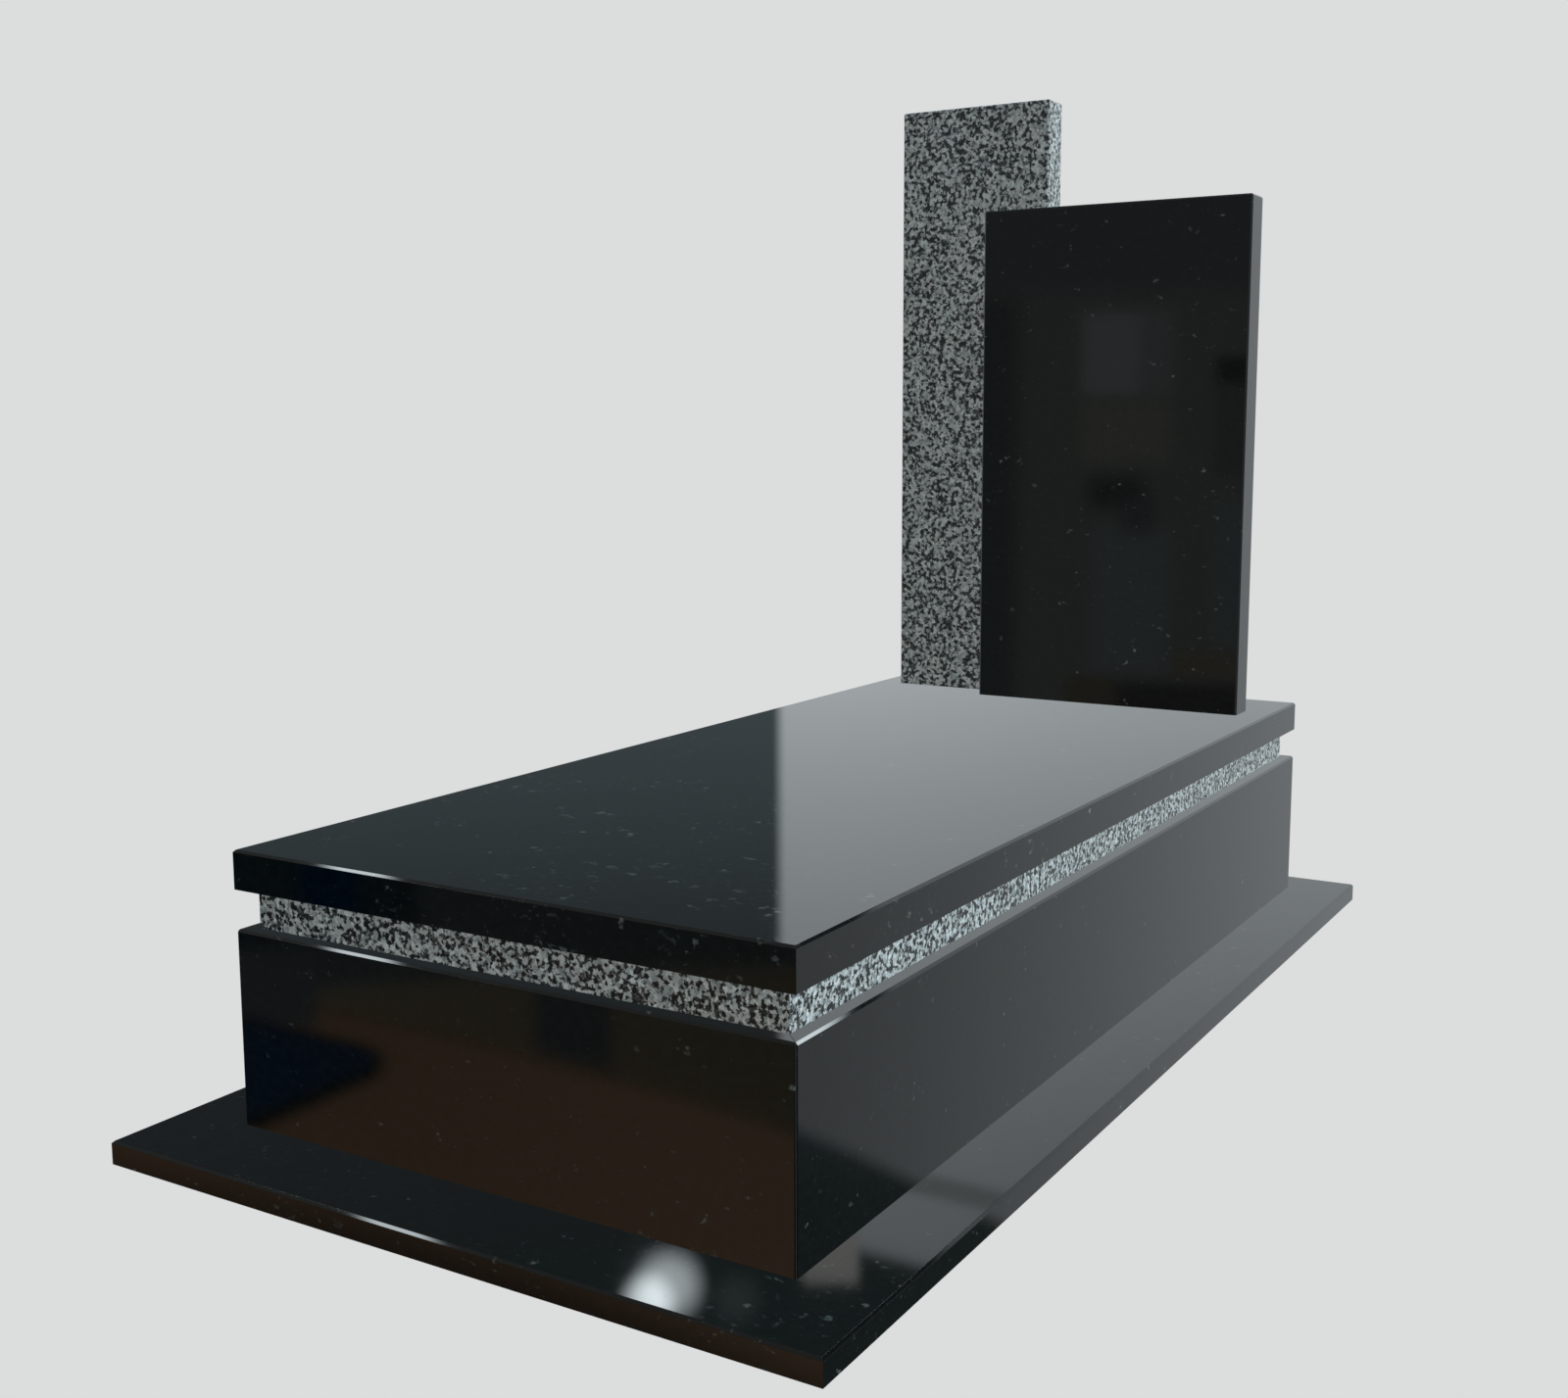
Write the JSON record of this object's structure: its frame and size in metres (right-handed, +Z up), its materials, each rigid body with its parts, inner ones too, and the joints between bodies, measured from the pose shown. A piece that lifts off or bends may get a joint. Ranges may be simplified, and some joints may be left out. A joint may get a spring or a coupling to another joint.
{
  "type": "grave monument with headstones",
  "caption": "Single grave monument of polished granite: black base slab, hollow chest and cover, recessed grey band, and a black and a taller grey headstone standing at the head end.",
  "frame": {"origin": "on the ground, under the middle of the base slab", "axes": "+Z up, +X to the right seen from the foot end, +Y from the foot end to the headstones"},
  "size_m": [1, 2, 1.48],
  "materials": {
    "black_granite": "mirror polished, near-black with small pale mineral flecks",
    "grey_granite": "polished, light grey with a close net of black grains"
  },
  "bodies": {
    "root": {"base_slab": "black_granite", "chest_foot_wall": "black_granite", "chest_right_wall": "black_granite", "chest_head_wall": "black_granite", "chest_left_wall": "black_granite", "band_foot_strip": "grey_granite", "band_right_strip": "grey_granite", "band_head_strip": "grey_granite", "band_left_strip": "grey_granite", "cover_slab": "black_granite", "tall_grey_headstone": "grey_granite", "wide_black_headstone": "black_granite"}
  },
  "joints": []
}
